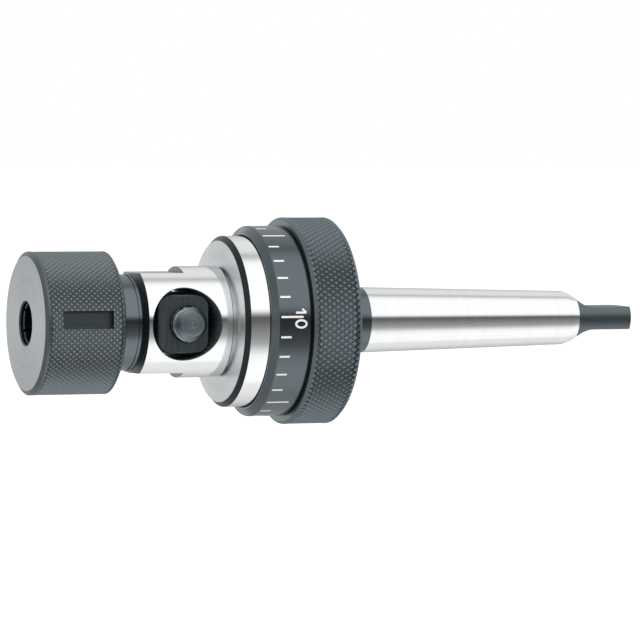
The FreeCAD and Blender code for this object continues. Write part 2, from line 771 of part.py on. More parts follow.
def make_thrust_needles():
    """Needles laid like spokes in the windows of the cage."""
    count = DIMENSIONS["needle_count"]
    needles = []
    for i in range(count):
        needle = doc.addObject("Part::Cylinder", f"needle_{i + 1}")
        turn = f"{i} * 360deg / needle_count"
        radial = FreeCAD.Vector(0, -math.sin(math.tau * i / count), math.cos(math.tau * i / count))
        needle.Placement.Rotation = FreeCAD.Rotation(FreeCAD.Vector(0, 0, 1), radial)
        start = "((cage_bore + cage_dia) / 4 - needle_length / 2)"
        needle.setExpression("Radius", bound("needle_dia / 2"))
        needle.setExpression("Height", bound("needle_length"))
        needle.setExpression("Placement.Base.x", bound("needles_front + needle_dia / 2"))
        needle.setExpression("Placement.Base.y", bound(f"-{start} * sin({turn})"))
        needle.setExpression("Placement.Base.z", bound(f"{start} * cos({turn})"))
        needles.append(needle)
    return make_group("thrust_needles", needles)


def make_lock_dowels():
    """Dowels on the screwed joint that keep the flange from turning on the body."""
    count = DIMENSIONS["dowel_count"]
    dowels = []
    for i in range(count):
        dowel = doc.addObject("Part::Cylinder", f"dowel_{i + 1}")
        turn = f"{i} * 360deg / dowel_count"
        dowel.Placement.Rotation = FreeCAD.Rotation(FreeCAD.Vector(0, 0, 1), FreeCAD.Vector(1, 0, 0))
        dowel.setExpression("Radius", bound("dowel_dia / 2 - seat_gap"))
        dowel.setExpression("Height", bound("dowel_length"))
        dowel.setExpression("Placement.Base.x", bound("flange_seat - dowel_length"))
        dowel.setExpression("Placement.Base.y", bound(f"-spigot_dia / 2 * sin({turn})"))
        dowel.setExpression("Placement.Base.z", bound(f"spigot_dia / 2 * cos({turn})"))
        dowels.append(dowel)
    return make_group("lock_dowels", dowels)


def make_collet_holder():
    """Dark sleeve screwed on the body: a tapered seat for the collet and a thread for the cap."""
    body = new_body("collet_holder")
    outside = "holder_dia / 2"
    thread = "holder_thread_dia / 2"
    socket = "nose_spigot_dia / 2 + seat_gap"
    groove_rear = "body_nose - holder_groove_setback"
    revolve(body, [
        ("holder_front", "collet_mouth_dia / 2"),
        ("holder_front", f"{thread} - lead_chamfer"),
        ("holder_front + lead_chamfer", thread),
        ("holder_shoulder", thread),
        ("holder_shoulder", f"{outside} - edge_break"),
        ("holder_shoulder + edge_break", outside),
        (f"{groove_rear} - holder_groove_width", outside),
        (f"{groove_rear} - holder_groove_width", f"{outside} - holder_groove"),
        (groove_rear, f"{outside} - holder_groove"),
        (groove_rear, outside),
        ("body_nose", outside),
        ("body_nose", socket),
        ("nose_spigot_front - free_gap", socket),
        ("nose_spigot_front - free_gap", "collet_seat_radius"),
        ("collet_seat_rear", "collet_seat_radius"),
    ])
    return body


def make_tap_collet():
    """Slotted collet: long taper, ring groove, coned head and slots cut from both ends by turns."""
    body = new_body("tap_collet")
    bore = "collet_bore / 2"
    mouth = "collet_mouth_dia / 2 - running_gap"
    rear_radius = "collet_seat_radius + (collet_seat_rear - collet_rear) * tan(collet_half_angle * 1deg)"
    revolve(body, [
        ("collet_rear", f"{bore} + edge_break"),
        ("collet_rear", f"{rear_radius} - running_gap"),
        ("holder_front", mouth),
        ("holder_front - free_gap", mouth),
        ("holder_front - free_gap", "collet_groove_dia / 2"),
        ("collet_head_rear", "collet_groove_dia / 2"),
        ("collet_head_rear", "collet_head_dia / 2"),
        ("collet_front", "collet_head_front_dia / 2"),
        ("collet_front", f"{bore} + edge_break"),
        ("collet_front + edge_break", bore),
        ("collet_rear - edge_break", bore),
    ])
    half = "collet_slot_width / 2"
    length = "collet_rear - collet_front - collet_slot_web"
    rear_turn = "collet_slot_clock + 180 / collet_slot_count"
    for end, turn, towards_rear in (("front", "collet_slot_clock", True), ("rear", rear_turn, False)):
        slot = new_sketch(body, f"slot_{end}", "YZ_Plane", f"collet_{end}", turn)
        add_rectangle(slot, f"-{half}", half, f"{bore} - overrun", "collet_mouth_dia / 2 + overrun")
        repeat_around(body, pocket(body, slot, length, reverse=towards_rear), "collet_slot_count")
    return body


def make_extractor_ring():
    """Split ring in the cap that draws the collet out of its taper."""
    thickness = "extractor_thickness"
    middle = "(holder_front - free_gap - collet_groove_width / 2)"
    body = disc("extractor_ring", f"{middle} - {thickness} / 2", thickness,
                "(collet_groove_dia + 2 * free_gap)", "extractor_dia")
    split = new_sketch(body, "split", "YZ_Plane")
    add_rectangle(split, "-extractor_thickness", "extractor_thickness",
                  "collet_groove_dia / 4", "extractor_dia")
    pocket(body, split, thickness, reverse=True)
    return body


def make_clamp_cap():
    """Knurled cap: plain bore and coned seat at the front, ring groove, thread and spanner slots."""
    body = new_body("clamp_cap")
    thread = "holder_thread_dia / 2 + running_gap"
    skirt = "holder_dia / 2 + free_gap"
    cavity = "cap_cavity_dia / 2"
    groove = "extractor_dia / 2 + running_gap"
    middle = "(holder_front - free_gap - collet_groove_width / 2)"
    groove_rear = f"{middle} + extractor_thickness / 2 + running_gap"
    groove_front = f"{middle} - extractor_thickness / 2 - running_gap"
    wall_rear = "cap_front + cap_front_wall"
    revolve(body, [
        ("cap_front", "cap_bore / 2 + cap_bore_edge"),
        ("cap_front", "cap_dia / 2 - cap_edge_rise"),
        ("cap_front + cap_edge_run", "cap_dia / 2"),
        ("cap_rear - cap_edge_run", "cap_dia / 2"),
        ("cap_rear", "cap_dia / 2 - cap_edge_rise"),
        ("cap_rear", skirt),
        ("holder_shoulder - free_gap", skirt),
        ("holder_shoulder - free_gap", thread),
        ("holder_front - free_gap", thread),
        ("holder_front - free_gap", cavity),
        (groove_rear, cavity),
        (groove_rear, groove),
        (groove_front, groove),
        (groove_front, "collet_head_dia / 2 + free_gap"),
        ("collet_head_rear", "collet_head_dia / 2 + free_gap"),
        (wall_rear, "collet_head_front_dia / 2 + running_gap"),
        (wall_rear, "cap_bore / 2"),
        ("cap_front + cap_bore_edge", "cap_bore / 2"),
    ])
    slot = new_sketch(body, "spanner_slot", "XZ_Plane", "cap_dia / 2 - spanner_slot_depth")
    rear = "cap_rear - spanner_slot_setback"
    add_rectangle(slot, f"{rear} - spanner_slot_length", rear,
                  "-spanner_slot_width / 2", "spanner_slot_width / 2")
    cut = pocket(body, slot, "spanner_slot_depth + overrun", reverse=True)
    repeat_around(body, cut, "spanner_slot_count")
    body.Placement.Rotation.Axis = FreeCAD.Vector(1, 0, 0)
    body.setExpression("Placement.Rotation.Angle", bound("-spanner_slot_clock * 1deg"))
    return body


def check_and_export(pieces):
    doc.recompute()
    for item in doc.Objects:
        if "Invalid" in item.State or "Error" in item.State:
            raise RuntimeError(f"{item.Label} did not compute: {item.State}")
    for piece in pieces:
        if piece.Shape.isNull() or not piece.Shape.isValid() or not piece.Shape.Solids:
            raise RuntimeError(f"{piece.Label} has no sound shape")
    for piece in pieces:
        piece.Shape.exportStep(f"parts/{piece.Label}.step")


# Shank and what turns with it
pieces = [make_morse_shank()]
race_bore = "(pilot_dia + 2 * free_gap)"
pieces.append(disc("thrust_washer_rear", "rear_race_front", "race_thickness", race_bore, "race_dia"))
pieces += [make_friction_plate(number) for number in (1, 2)]

# Thrust bearing
pieces += [make_needle_cage(), make_thrust_needles()]
pieces.append(disc("thrust_washer_front", "flange_seat", "race_thickness", race_bore, "race_dia"))

# Driven side of the clutch
pieces += [make_clutch_flange(), make_lock_dowels(), make_pilot_bush()]
pieces += [make_driven_plate(number) for number in (1, 2)]
pieces.append(make_pressure_plate())
pieces += [make_disc_spring(number) for number in range(1, SPRINGS + 1)]

# Torque adjustment
seat_bore = "(collar_dia + 2 * free_gap)"
pieces.append(disc("spring_seat", "seat_front", "seat_thickness", seat_bore, "spring_outer_dia"))
pieces += [make_adjusting_ring(), make_dial_ring()]
seal_front = "web_front + (ring_web - seal_width) / 2"
seal_bore = "(collar_dia + 2 * running_gap)"
pieces.append(disc("dust_seal", seal_front, "seal_width", seal_bore, "seal_dia"))

# Front body with its jaws
pieces += [make_front_body(), make_spindle_fork(), make_jaw_spindle()]
pieces += [make_jaw("jaw_near", -1), make_jaw("jaw_far", 1)]

# Collet and cap
pieces += [make_collet_holder(), make_tap_collet(), make_extractor_ring(), make_clamp_cap()]

check_and_export(pieces)
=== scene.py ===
import json
import math

import bmesh
import bpy
from mathutils import Matrix, Vector


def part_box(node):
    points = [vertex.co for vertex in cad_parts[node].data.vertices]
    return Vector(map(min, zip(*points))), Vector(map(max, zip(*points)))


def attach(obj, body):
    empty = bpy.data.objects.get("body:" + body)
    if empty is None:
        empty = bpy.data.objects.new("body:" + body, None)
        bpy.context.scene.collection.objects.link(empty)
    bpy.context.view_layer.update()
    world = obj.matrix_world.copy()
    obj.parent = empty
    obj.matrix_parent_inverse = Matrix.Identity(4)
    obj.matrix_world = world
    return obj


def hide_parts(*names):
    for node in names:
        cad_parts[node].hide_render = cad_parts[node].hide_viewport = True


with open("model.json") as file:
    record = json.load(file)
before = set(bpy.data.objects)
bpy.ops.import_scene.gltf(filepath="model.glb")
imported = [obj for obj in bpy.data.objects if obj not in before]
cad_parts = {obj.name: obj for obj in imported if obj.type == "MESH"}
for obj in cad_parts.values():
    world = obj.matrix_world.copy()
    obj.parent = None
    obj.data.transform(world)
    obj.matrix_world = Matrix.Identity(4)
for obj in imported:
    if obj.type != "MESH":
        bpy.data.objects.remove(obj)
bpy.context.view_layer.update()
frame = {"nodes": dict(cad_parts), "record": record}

MM = 0.001
NODES = frame["nodes"]
BODIES = frame["record"]["behaviour"]["bodies"]
BODY_OF = {node: body for body, members in BODIES.items() for node in members}
AXIS_X = Vector((1, 0, 0))
AXIS_Y = Vector((0, 1, 0))
ORIGIN = Vector((0, 0, 0))


# Sizes of the surface details, in mm. They lie on the CAD part's own faces.

CAP_LOW, CAP_HIGH = (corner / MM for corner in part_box("clamp_cap"))
RING_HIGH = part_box("adjusting_ring")[1] / MM
FLANGE_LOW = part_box("clutch_flange")[0] / MM
HOLDER_LOW, HOLDER_HIGH = (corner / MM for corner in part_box("collet_holder"))
SPINDLE_LOW, SPINDLE_HIGH = (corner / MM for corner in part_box("jaw_spindle"))
CAP_RADIUS = CAP_HIGH.z
RING_RADIUS = RING_HIGH.z

# The CAD cylinders are many-sided, so the crests of knurls and threads stay this far inside them.
CREST_MARGIN = 0.03

# A knurl's bar widens within the run-out to a clearance outside the part, and goes on by the overhang.
KNURL_RUN_OUT = 0.9
BAR_CLEARANCE = 1.0
BAR_OVERHANG = 6.0

# An end face's normal leans at least this much along the axis, and its centre is this near the end.
FACING = 0.99
FACE_MARGIN = 0.1

CAP_CHAMFER = 0.7
CAP_FRONT_LAND = 0.6
CAP_REAR_LAND = 0.2
CAP_EDGE_RADIUS = 17
CAP_KNURL = {"depth": 0.32, "around": 80, "pitch": 1.7, "crest": 0.26}
SLOT_START = 4.5
SLOT_END = 3.6
SLOT_INNER_RADIUS = 16
SLOT_OUTER_RADIUS = 18.6

RING_FACE = -28.85
RING_CHAMFER = 0.8
RING_LAND = 0.05
RING_KNURL = {"depth": 0.36, "around": 106, "pitch": 2.45, "crest": 0.24}

DIAL_RADIUS = 26.0
DIAL_DIVISIONS = 30
DIAL_LONG_EVERY = 5
DIAL_NUMBER_EVERY = 10
DIAL_NUMBERS = ("10", "20", "0")
DIAL_NUMBER_ANGLE = 5.3
MARK_START = -37.75
SHORT_MARK_END = -34.8
LONG_MARK_END = -31.45
MARK_WIDTH = 0.55
MARK_DEPTH = 0.12
MARK_REACH = 0.5
DIGIT_BASE = -33.6
DIGIT_HEIGHT = 3.0
DIGIT_HALF_WIDTH = 0.98
ONE_OFFSET = 1.15
WIDE_OFFSET = 1.9
ZERO_SIDES = 20
MITRE_LIMIT = 0.45

# A lean is the part of a face's normal along an axis. Leans, radii and widths pick a finish's faces.
FLANGE_EDGE_LEAN = (0.3, 0.95)
FLANGE_EDGE_WIDTH = 2
FLANGE_EDGE_RADIUS = 20

THREAD_PITCH = 1.5
THREAD_DEPTH = 0.7
THREAD_CREST = 0.2
HOLDER_THREAD_RADIUS = 12.2
HOLDER_THREAD_END = -79.6
HOLDER_THREAD_STEPS = 300
HOLDER_THREAD_SIDES = 96
SLEEVE_GAP = 0.4
SLEEVE_RADIUS = 12.4
SPINDLE_RADIUS = 5.0
SPINDLE_THREAD_START = 1.2
SPINDLE_THREAD_STEPS = 330
SPINDLE_THREAD_SIDES = 64
# The width of the painted shade at the spindle's rim.
SPINDLE_SHADE_RIM = 0.25

COLLAR_END = -5.0
TAPER_END = 55.5
TANG_START = 58.6
BODY_NOSE = -72.5
BODY_NOSE_CHAMFER = 1.3
BODY_NOSE_LEAN = 0.2
BODY_NOSE_BORE = 11.5
BODY_BORE = 13.4
FLAT_START = 13.3
FLAT_WALL_START = 13.5
CROSS_HOLE_X = -60.45
CROSS_HOLE_RADIUS = 9.65
CROSS_HOLE_MARGIN = 0.02
CROSS_HOLE_RIM = 0.3
CROSS_HOLE_RIM_LEAN = (0.2, 0.95)
# How far the jaws' painted shade reaches out from the spindle.
JAW_SHADE_RIM = 0.9
JAW_FACING = 0.95


# Camera, from the photograph: the view angle, the distance and the frame's 640 pixels.

FRAME_PIXELS = 640
FOCAL_PIXELS = 4003
SENSOR_WIDTH = 36
VIEW_TURN = math.radians(21.09)
VIEW_RISE = math.radians(2.92)
VIEW_ROLL = math.radians(0.485)
VIEW_DISTANCE = 1100 * MM
LOOK_AT = Vector((-16.77, 0, 0.07)) * MM
NEAR_CLIP = 0.05
FAR_CLIP = 50


def make_camera():
    level = math.cos(VIEW_RISE)
    back = Vector((-math.sin(VIEW_TURN) * level, -math.cos(VIEW_TURN) * level, math.sin(VIEW_RISE)))
    level_right = Vector((math.cos(VIEW_TURN), -math.sin(VIEW_TURN), 0))
    level_up = back.cross(level_right)
    right = level_right * math.cos(VIEW_ROLL) + level_up * math.sin(VIEW_ROLL)
    up = back.cross(right)
    data = bpy.data.cameras.new("photo_camera")
    data.sensor_width = SENSOR_WIDTH
    data.lens = FOCAL_PIXELS / FRAME_PIXELS * SENSOR_WIDTH
    data.clip_start = NEAR_CLIP
    data.clip_end = FAR_CLIP
    camera = bpy.data.objects.new("photo_camera", data)
    bpy.context.scene.collection.objects.link(camera)
    turn = Matrix((right, up, back)).transposed().to_4x4()
    camera.matrix_world = Matrix.Translation(LOOK_AT + back * VIEW_DISTANCE) @ turn
    bpy.context.scene.camera = camera


# Shape helpers. Corners nearer than the seam gap, in metres, are one.

SEAM_GAP = 1e-7


def new_object(name, bm):
    mesh = bpy.data.meshes.new(name)
    bm.to_mesh(mesh)
    bm.free()
    piece = bpy.data.objects.new(name, mesh)
    bpy.context.scene.collection.objects.link(piece)
    return piece


def cad_copy(node, name, finishes):
    """A piece with the node's own shape, its seams closed, ready to be worked on."""
    bm = bmesh.new()
    bm.from_mesh(NODES[node].data)
    bmesh.ops.remove_doubles(bm, verts=bm.verts, dist=SEAM_GAP)
    for face in bm.faces:
        face.material_index = 0
    piece = new_object(name, bm)
    piece.data.materials.clear()
    set_finishes(piece, finishes)
    return piece


def set_finishes(piece, finishes):
    for finish in finishes:
        piece.data.materials.append(finish)


def combine(piece, tool, operation, index):
    """The piece after a boolean with the tool, which is used up. Cut faces take the material index."""
    for face in tool.data.polygons:
        face.material_index = index
    set_finishes(tool, piece.data.materials)
    modifier = piece.modifiers.new("combine", "BOOLEAN")
    modifier.operation = operation
    modifier.solver = "EXACT"
    modifier.use_self = True
    modifier.object = tool
    graph = bpy.context.evaluated_depsgraph_get()
    graph.update()
    made = bpy.data.meshes.new_from_object(piece.evaluated_get(graph))
    piece.modifiers.clear()
    piece.data = made
    bpy.data.objects.remove(tool)
    return piece


def on_cylinder(x, radius, angle):
    """The point in metres at x along the axis, with the angle counted upward from the near side."""
    return Vector((x, -radius * math.cos(angle), radius * math.sin(angle))) * MM


def bridge(bm, near, far):
    """Faces between two closed rows of as many vertices."""
    for j in range(len(near)):
        k = (j + 1) % len(near)
        bm.faces.new((near[j], near[k], far[k], far[j]))


def tool_object(name, bm):
    bmesh.ops.recalc_face_normals(bm, faces=bm.faces)
    return new_object(name, bm)


def radius_field(name, start, end, steps, segments, radius_at):
    """A closed bar along the axis whose radius is a function of the place along it and round it."""
    bm = bmesh.new()
    rows = []
    for i in range(steps + 1):
        x = start + (end - start) * i / steps
        angles = [math.tau * j / segments for j in range(segments)]
        rows.append([bm.verts.new(on_cylinder(x, radius_at(x, angle), angle)) for angle in angles])
    for near, far in zip(rows, rows[1:]):
        bridge(bm, near, far)
    bm.faces.new(rows[0])
    bm.faces.new(list(reversed(rows[-1])))
    return tool_object(name, bm)


def knurled_bar(name, start, end, radius, depth, around, pitch, crest):
    """A closed bar with blunted diamond pyramids between start and end, and thicker beyond them.

    The crests lie at the radius. The crest is the share of a diamond that stays flat.
    """
    bm = bmesh.new()
    rows = round(2 * (end - start) / pitch)
    half_pitch = (end - start) / rows
    half_turn = math.pi / around
    valleys = {}

    def valley(m, k):
        key = (m, k % (2 * around))
        if key not in valleys:
            place = on_cylinder(start + m * half_pitch, radius - depth, key[1] * half_turn)
            valleys[key] = bm.verts.new(place)
        return valleys[key]

    for m in range(1, rows):
        for k in range(2 * around):
            if (m + k) % 2 == 0:
                continue
            corners = [valley(m - 1, k), valley(m, k - 1), valley(m + 1, k), valley(m, k + 1)]
            top = []
            for along, across in ((-crest, 0), (0, -crest), (crest, 0), (0, crest)):
                place = on_cylinder(start + (m + along) * half_pitch, radius, (k + across) * half_turn)
                top.append(bm.verts.new(place))
            bm.faces.new(top)
            for i in range(4):
                j = (i + 1) % 4
                bm.faces.new((corners[i], corners[j], top[j], top[i]))
    for side, inward in ((0, 1), (rows, -1)):
        loop = [valley(side if (side + k) % 2 == 0 else side + inward, k) for k in range(2 * around)]
        for distance in (KNURL_RUN_OUT, BAR_OVERHANG):
            x = start + side * half_pitch - inward * distance
            wide = radius + BAR_CLEARANCE
            row = [bm.verts.new(on_cylinder(x, wide, k * half_turn)) for k in range(2 * around)]
            bridge(bm, loop, row)
            loop = row
        bm.faces.new(loop)
    return tool_object(name, bm)


def box_tool(name, size, place, turn):
    """A box of that size in mm, put at a place and turned about the part's axis by an angle."""
    bm = bmesh.new()
    bmesh.ops.create_cube(bm, size=1)
    scale = Matrix.Diagonal((size[0] * MM, size[1] * MM, size[2] * MM, 1))
    shift = Matrix.Translation(Vector(place) * MM)
    bmesh.ops.transform(bm, matrix=Matrix.Rotation(-turn, 4, "X") @ shift @ scale, verts=bm.verts)
    return new_object(name, bm)


def join_tools(name, tools):
    bm = bmesh.new()
    for tool in tools:
        bm.from_mesh(tool.data)
        bpy.data.objects.remove(tool)
    return new_object(name, bm)


def split_across(piece, x):
    """Cuts the faces that cross a place along the axis, so that two finishes can meet there."""
    bm = bmesh.new()
    bm.from_mesh(piece.data)
    parts = bm.verts[:] + bm.edges[:] + bm.faces[:]
    place = Vector((x, 0, 0)) * MM
    bmesh.ops.bisect_plane(bm, geom=parts, dist=SEAM_GAP, plane_co=place, plane_no=AXIS_X)
    bm.to_mesh(piece.data)
    bm.free()


def paint(piece, index, chosen):
    """Gives the index to those faces of the first material that chosen(centre, r, normal) picks."""
    for face in piece.data.polygons:
        centre = face.center / MM
        if face.material_index == 0 and chosen(centre, math.hypot(centre.y, centre.z), face.normal):
            face.material_index = index


# How far a face may lean out of a turned surface, how far round it a corner may lie from the face's
# middle, the radius in metres that counts as on the axis, and the lean of faces shaded as cylinders.
SIDE_LEAN = 0.06
CORNER_SPREAD = math.cos(math.radians(9))
ON_AXIS = 1e-6
STRAIGHT_LEAN = 0.8


def turned_normal(face, corner, origin, axis, straight):
    """The corner's normal if the face belongs to a surface turned about the axis, else None."""
    along = face.normal.dot(axis)
    arm = face.center - origin
    arm -= axis * arm.dot(axis)
    if arm.length < ON_AXIS:
        return None
    outward = arm.normalized()
    if abs(face.normal.dot(axis.cross(outward))) > SIDE_LEAN:
        return None
    reach = corner - origin
    reach -= axis * reach.dot(axis)
    if reach.length < ON_AXIS:
        return face.normal.copy()
    spread = reach.normalized()
    if spread.dot(outward) < CORNER_SPREAD:
        return None
    if straight and abs(along) < STRAIGHT_LEAN:
        return spread
    radial = math.copysign(math.sqrt(max(0.0, 1 - along * along)), face.normal.dot(outward))
    return (axis * along + spread * radial).normalized()


def shade_turned(piece, flat_indices=(), origin=ORIGIN, axis=AXIS_X, straight_from=None):
    """Exact normals on the turned faces, flat ones on the others.

    Turned faces beyond straight_from along the axis are shaded like the cylinder before them.
    """
    mesh = piece.data
    normals = [Vector((0, 0, 1))] * len(mesh.loops)
    for face in mesh.polygons:
        face.use_smooth = True
        corners = [mesh.vertices[mesh.loops[i].vertex_index].co for i in face.loop_indices]
        found = None
        if face.material_index not in flat_indices:
            straight = straight_from is not None and face.center.x > straight_from * MM
            found = [turned_normal(face, corner, origin, axis, straight) for corner in corners]
        if not found or any(n is None for n in found):
            found = [face.normal.copy()] * len(corners)
        for i, n in zip(face.loop_indices, found):
            normals[i] = n
    mesh.normals_split_custom_set(normals)


def finish_piece(piece, node):
    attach(piece, BODY_OF[node])
    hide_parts(node)
    return piece


# Materials. Every one has its own turning, grinding or knurling marks, in object coordinates.

# A finish varies between two shares of its own colour. A knurl's shares are painted shade, darkest at the
# bottoms of its grooves.
TURNED_SHADES = (0.86, 1.08)
GROUND_SHADES = (0.84, 1.1)
GROOVE_PAINTED_SHADE = (0.7, 1.0)
PAINT_SHADES = (0.9, 1.0)
FELT_SHADES = (0.6, 1.25)

# Metal varies between two shares of its own roughness, paint and felt between two roughnesses.
METAL_ROUGH_SHARES = (0.75, 1.3)
KNURL_ROUGH_SHARES = (0.8, 1.25)
PAINT_ROUGH = (0.5, 0.7)
FELT_ROUGH = (0.8, 0.95)

# The scales of the clouds, smears, grains and fibres, per metre.
TURNED_CLOUD = 170
TURNED_SMEAR = 900
GROUND_CLOUD = 220
KNURL_GRAIN = 6000
KNURL_CLOUD = 240
PAINT_GRAIN = 3500
FELT_FIBRES = 5200

# How many times broader the broad turning marks are than the fine ones.
BROAD_MARKS = 9

# The heights of grain and fibres, in metres.
GRAIN_RELIEF = 2e-5
FELT_RELIEF = 1e-4


def start_material(name):
    material = bpy.data.materials.new(name)
    material.use_nodes = True
    tree = material.node_tree
    tree.nodes.clear()
    return material, tree


def add(tree, kind, inputs=None, **settings):
    node = tree.nodes.new(kind)
    for key, value in settings.items():
        setattr(node, key, value)
    for key, value in (inputs or {}).items():
        if isinstance(value, bpy.types.NodeSocket):
            tree.links.new(value, node.inputs[key])
        else:
            node.inputs[key].default_value = value
    return node


def calculate(tree, operation, a, b=0.0, c=0.0):
    return add(tree, "ShaderNodeMath", {0: a, 1: b, 2: c}, operation=operation).outputs[0]


def remap(tree, value, low, high, to_low, to_high):
    limits = {"Value": value, "From Min": low, "From Max": high, "To Min": to_low, "To Max": to_high}
    return add(tree, "ShaderNodeMapRange", limits).outputs[0]


def blend(tree, factor, a, b):
    node = add(tree, "ShaderNodeMix", {"Factor": factor}, data_type="RGBA")
    for key, value in (("A", a), ("B", b)):
        socket = [s for s in node.inputs if s.name == key and s.type == "RGBA"][0]
        if isinstance(value, bpy.types.NodeSocket):
            tree.links.new(value, socket)
        else:
            socket.default_value = value
    return [s for s in node.outputs if s.type == "RGBA"][0]


def object_place(tree):
    return add(tree, "ShaderNodeTexCoord").outputs["Object"]


def places(tree, centre=None):
    """Object coordinates, the place along the axis and the radius from it, in metres."""
    position = object_place(tree)
    if centre is not None:
        shifted = {0: position, 1: centre}
        position = add(tree, "ShaderNodeVectorMath", shifted, operation="SUBTRACT").outputs["Vector"]
    along = add(tree, "ShaderNodeSeparateXYZ", {0: position}).outputs["X" if centre is None else "Y"]
    across = {0: position, 1: (0, 1, 1) if centre is None else (1, 0, 1)}
    flat = add(tree, "ShaderNodeVectorMath", across, operation="MULTIPLY").outputs["Vector"]
    radius = add(tree, "ShaderNodeVectorMath", {0: flat}, operation="LENGTH").outputs["Value"]
    return position, along, radius


def shades(colour, factor):
    return (colour[0] * factor, colour[1] * factor, colour[2] * factor, 1)


def between(tree, factor, colour, shares):
    """The colour between two shares of its level, by the factor."""
    return blend(tree, factor, shades(colour, shares[0]), shades(colour, shares[1]))


def noise(tree, vector, scale, detail=3.0, roughness=0.55):
    inputs = {"Vector": vector, "Scale": scale, "Detail": detail, "Roughness": roughness}
    return add(tree, "ShaderNodeTexNoise", inputs).outputs["Fac"]


def line_noise(tree, place, scale, detail=3.0, roughness=0.6):
    inputs = {"W": place, "Scale": scale, "Detail": detail, "Roughness": roughness}
    return add(tree, "ShaderNodeTexNoise", inputs, noise_dimensions="1D").outputs["Fac"]


def relief(tree, height, distance, strength=1.0):
    inputs = {"Strength": strength, "Distance": distance, "Height": height}
    return add(tree, "ShaderNodeBump", inputs).outputs[0]


def steel(level, tint=0.157):
    """A colour of that level, cooler by the tint."""
    return (level * (1 - tint), level, level * (1 + tint / 2))


def surface(tree, colour, rough, normal, metallic=1.0, **extra):
    """The shader of a material, joined to its output."""
    inputs = {"Base Color": colour, "Roughness": rough, "Metallic": metallic, "Normal": normal}
    inputs.update(extra)
    shader = add(tree, "ShaderNodeBsdfPrincipled", inputs)
    add(tree, "ShaderNodeOutputMaterial", {"Surface": shader.outputs[0]})
    return shader


def turned_metal(name, colour, rough, marks=0.3, mark_scale=2500, mottle=0.08, aniso=0.0, bump=4e-6,
                 centre=None):
    """Lathe-turned or cylindrically ground metal: rings round the axis on cylinders, cones and faces.

    The axis is the part's own, or runs across it through the centre.
    """
    material, tree = start_material(name)
    position, along, radius = places(tree, centre)
    profile = calculate(tree, "ADD", along, radius)
    fine = line_noise(tree, profile, mark_scale)
    broad = line_noise(tree, profile, mark_scale / BROAD_MARKS, 2.0)
    cloud = noise(tree, position, TURNED_CLOUD)
    smear = noise(tree, position, TURNED_SMEAR, 4.0)
    both = calculate(tree, "MULTIPLY_ADD", fine, 0.6, calculate(tree, "MULTIPLY", broad, 0.4))
    cloudy = calculate(tree, "MULTIPLY", cloud, mottle)
    tone = calculate(tree, "MULTIPLY_ADD", both, marks, cloudy)
    tone = remap(tree, tone, 0.0, marks + mottle, 0.0, 1.0)
    shade = between(tree, tone, colour, TURNED_SHADES)
    worn = calculate(tree, "MULTIPLY_ADD", smear, 0.5, both)
    least, most = METAL_ROUGH_SHARES
    roughness = remap(tree, worn, 0.4, 1.1, rough * least, rough * most)
    shader = surface(tree, shade, roughness, relief(tree, both, bump))
    if aniso:
        shader.inputs["Anisotropic"].default_value = aniso
        tangent = add(tree, "ShaderNodeTangent", direction_type="RADIAL", axis="X")
        tree.links.new(tangent.outputs[0], shader.inputs["Tangent"])
    return material


def ground_metal(name, colour, rough, grain=(60, 60, 4000), mottle=0.1, bump=4e-6):
    """Flat-ground or milled metal: straight marks along one direction."""
    material, tree = start_material(name)
    position = object_place(tree)
    stretched = add(tree, "ShaderNodeMapping", {"Vector": position, "Scale": grain}).outputs[0]
    lines = noise(tree, stretched, 1.0, 4.0, 0.65)
    cloud = noise(tree, position, GROUND_CLOUD)
    cloudy = calculate(tree, "MULTIPLY", cloud, mottle)
    tone = calculate(tree, "MULTIPLY_ADD", lines, 1 - mottle, cloudy)
    shade = between(tree, remap(tree, tone, 0.3, 0.7, 0.0, 1.0), colour, GROUND_SHADES)
    least, most = METAL_ROUGH_SHARES
    roughness = remap(tree, tone, 0.3, 0.7, rough * least, rough * most)
    surface(tree, shade, roughness, relief(tree, lines, bump))
    return material


def knurl_metal(name, colour, worn, rough, crest_radius, depth):
    """Knurled steel: painted shade in the grooves, worn lighter on the crests, with a torn grain."""
    material, tree = start_material(name)
    position, _, radius = places(tree)
    grain = noise(tree, position, KNURL_GRAIN)
    cloud = noise(tree, position, KNURL_CLOUD)
    height = remap(tree, radius, (crest_radius - depth) * MM, crest_radius * MM, 0.0, 1.0)
    rubbed = calculate(tree, "MULTIPLY_ADD", grain, 0.4, height)
    wear = remap(tree, rubbed, 0.85, 1.3, 0.0, 1.0)
    # Painted shade: the colour darkens towards the bottoms of the grooves, by the height alone.
    groove_shade = between(tree, remap(tree, height, 0.0, 0.6, 0.0, 1.0), colour, GROOVE_PAINTED_SHADE)
    tone = blend(tree, wear, groove_shade, shades(worn, 1.0))
    shade = blend(tree, remap(tree, cloud, 0.3, 0.7, 0.0, 0.25), tone, shades(colour, 0.8))
    least, most = KNURL_ROUGH_SHARES
    roughness = remap(tree, grain, 0.25, 0.75, rough * least, rough * most)
    surface(tree, shade, roughness, relief(tree, grain, GRAIN_RELIEF, 0.6))
    return material


def filled_paint(name, colour):
    """Matt paint wiped into an engraved mark, slightly uneven."""
    material, tree = start_material(name)
    grain = noise(tree, object_place(tree), PAINT_GRAIN)
    shade = between(tree, remap(tree, grain, 0.35, 0.7, 0.0, 1.0), colour, PAINT_SHADES)
    roughness = remap(tree, grain, 0.3, 0.7, *PAINT_ROUGH)
    surface(tree, shade, roughness, relief(tree, grain, GRAIN_RELIEF, 0.5), metallic=0.0)
    return material


def felt_material(name, colour):
    """Pressed felt: fine fibres with dark gaps between them."""
    material, tree = start_material(name)
    fibres = noise(tree, object_place(tree), FELT_FIBRES, 5.0, 0.75)
    shade = between(tree, remap(tree, fibres, 0.3, 0.7, 0.0, 1.0), colour, FELT_SHADES)
    roughness = remap(tree, fibres, 0.3, 0.7, *FELT_ROUGH)
    surface(tree, shade, roughness, relief(tree, fibres, FELT_RELIEF, 0.9), metallic=0.0)
    return material


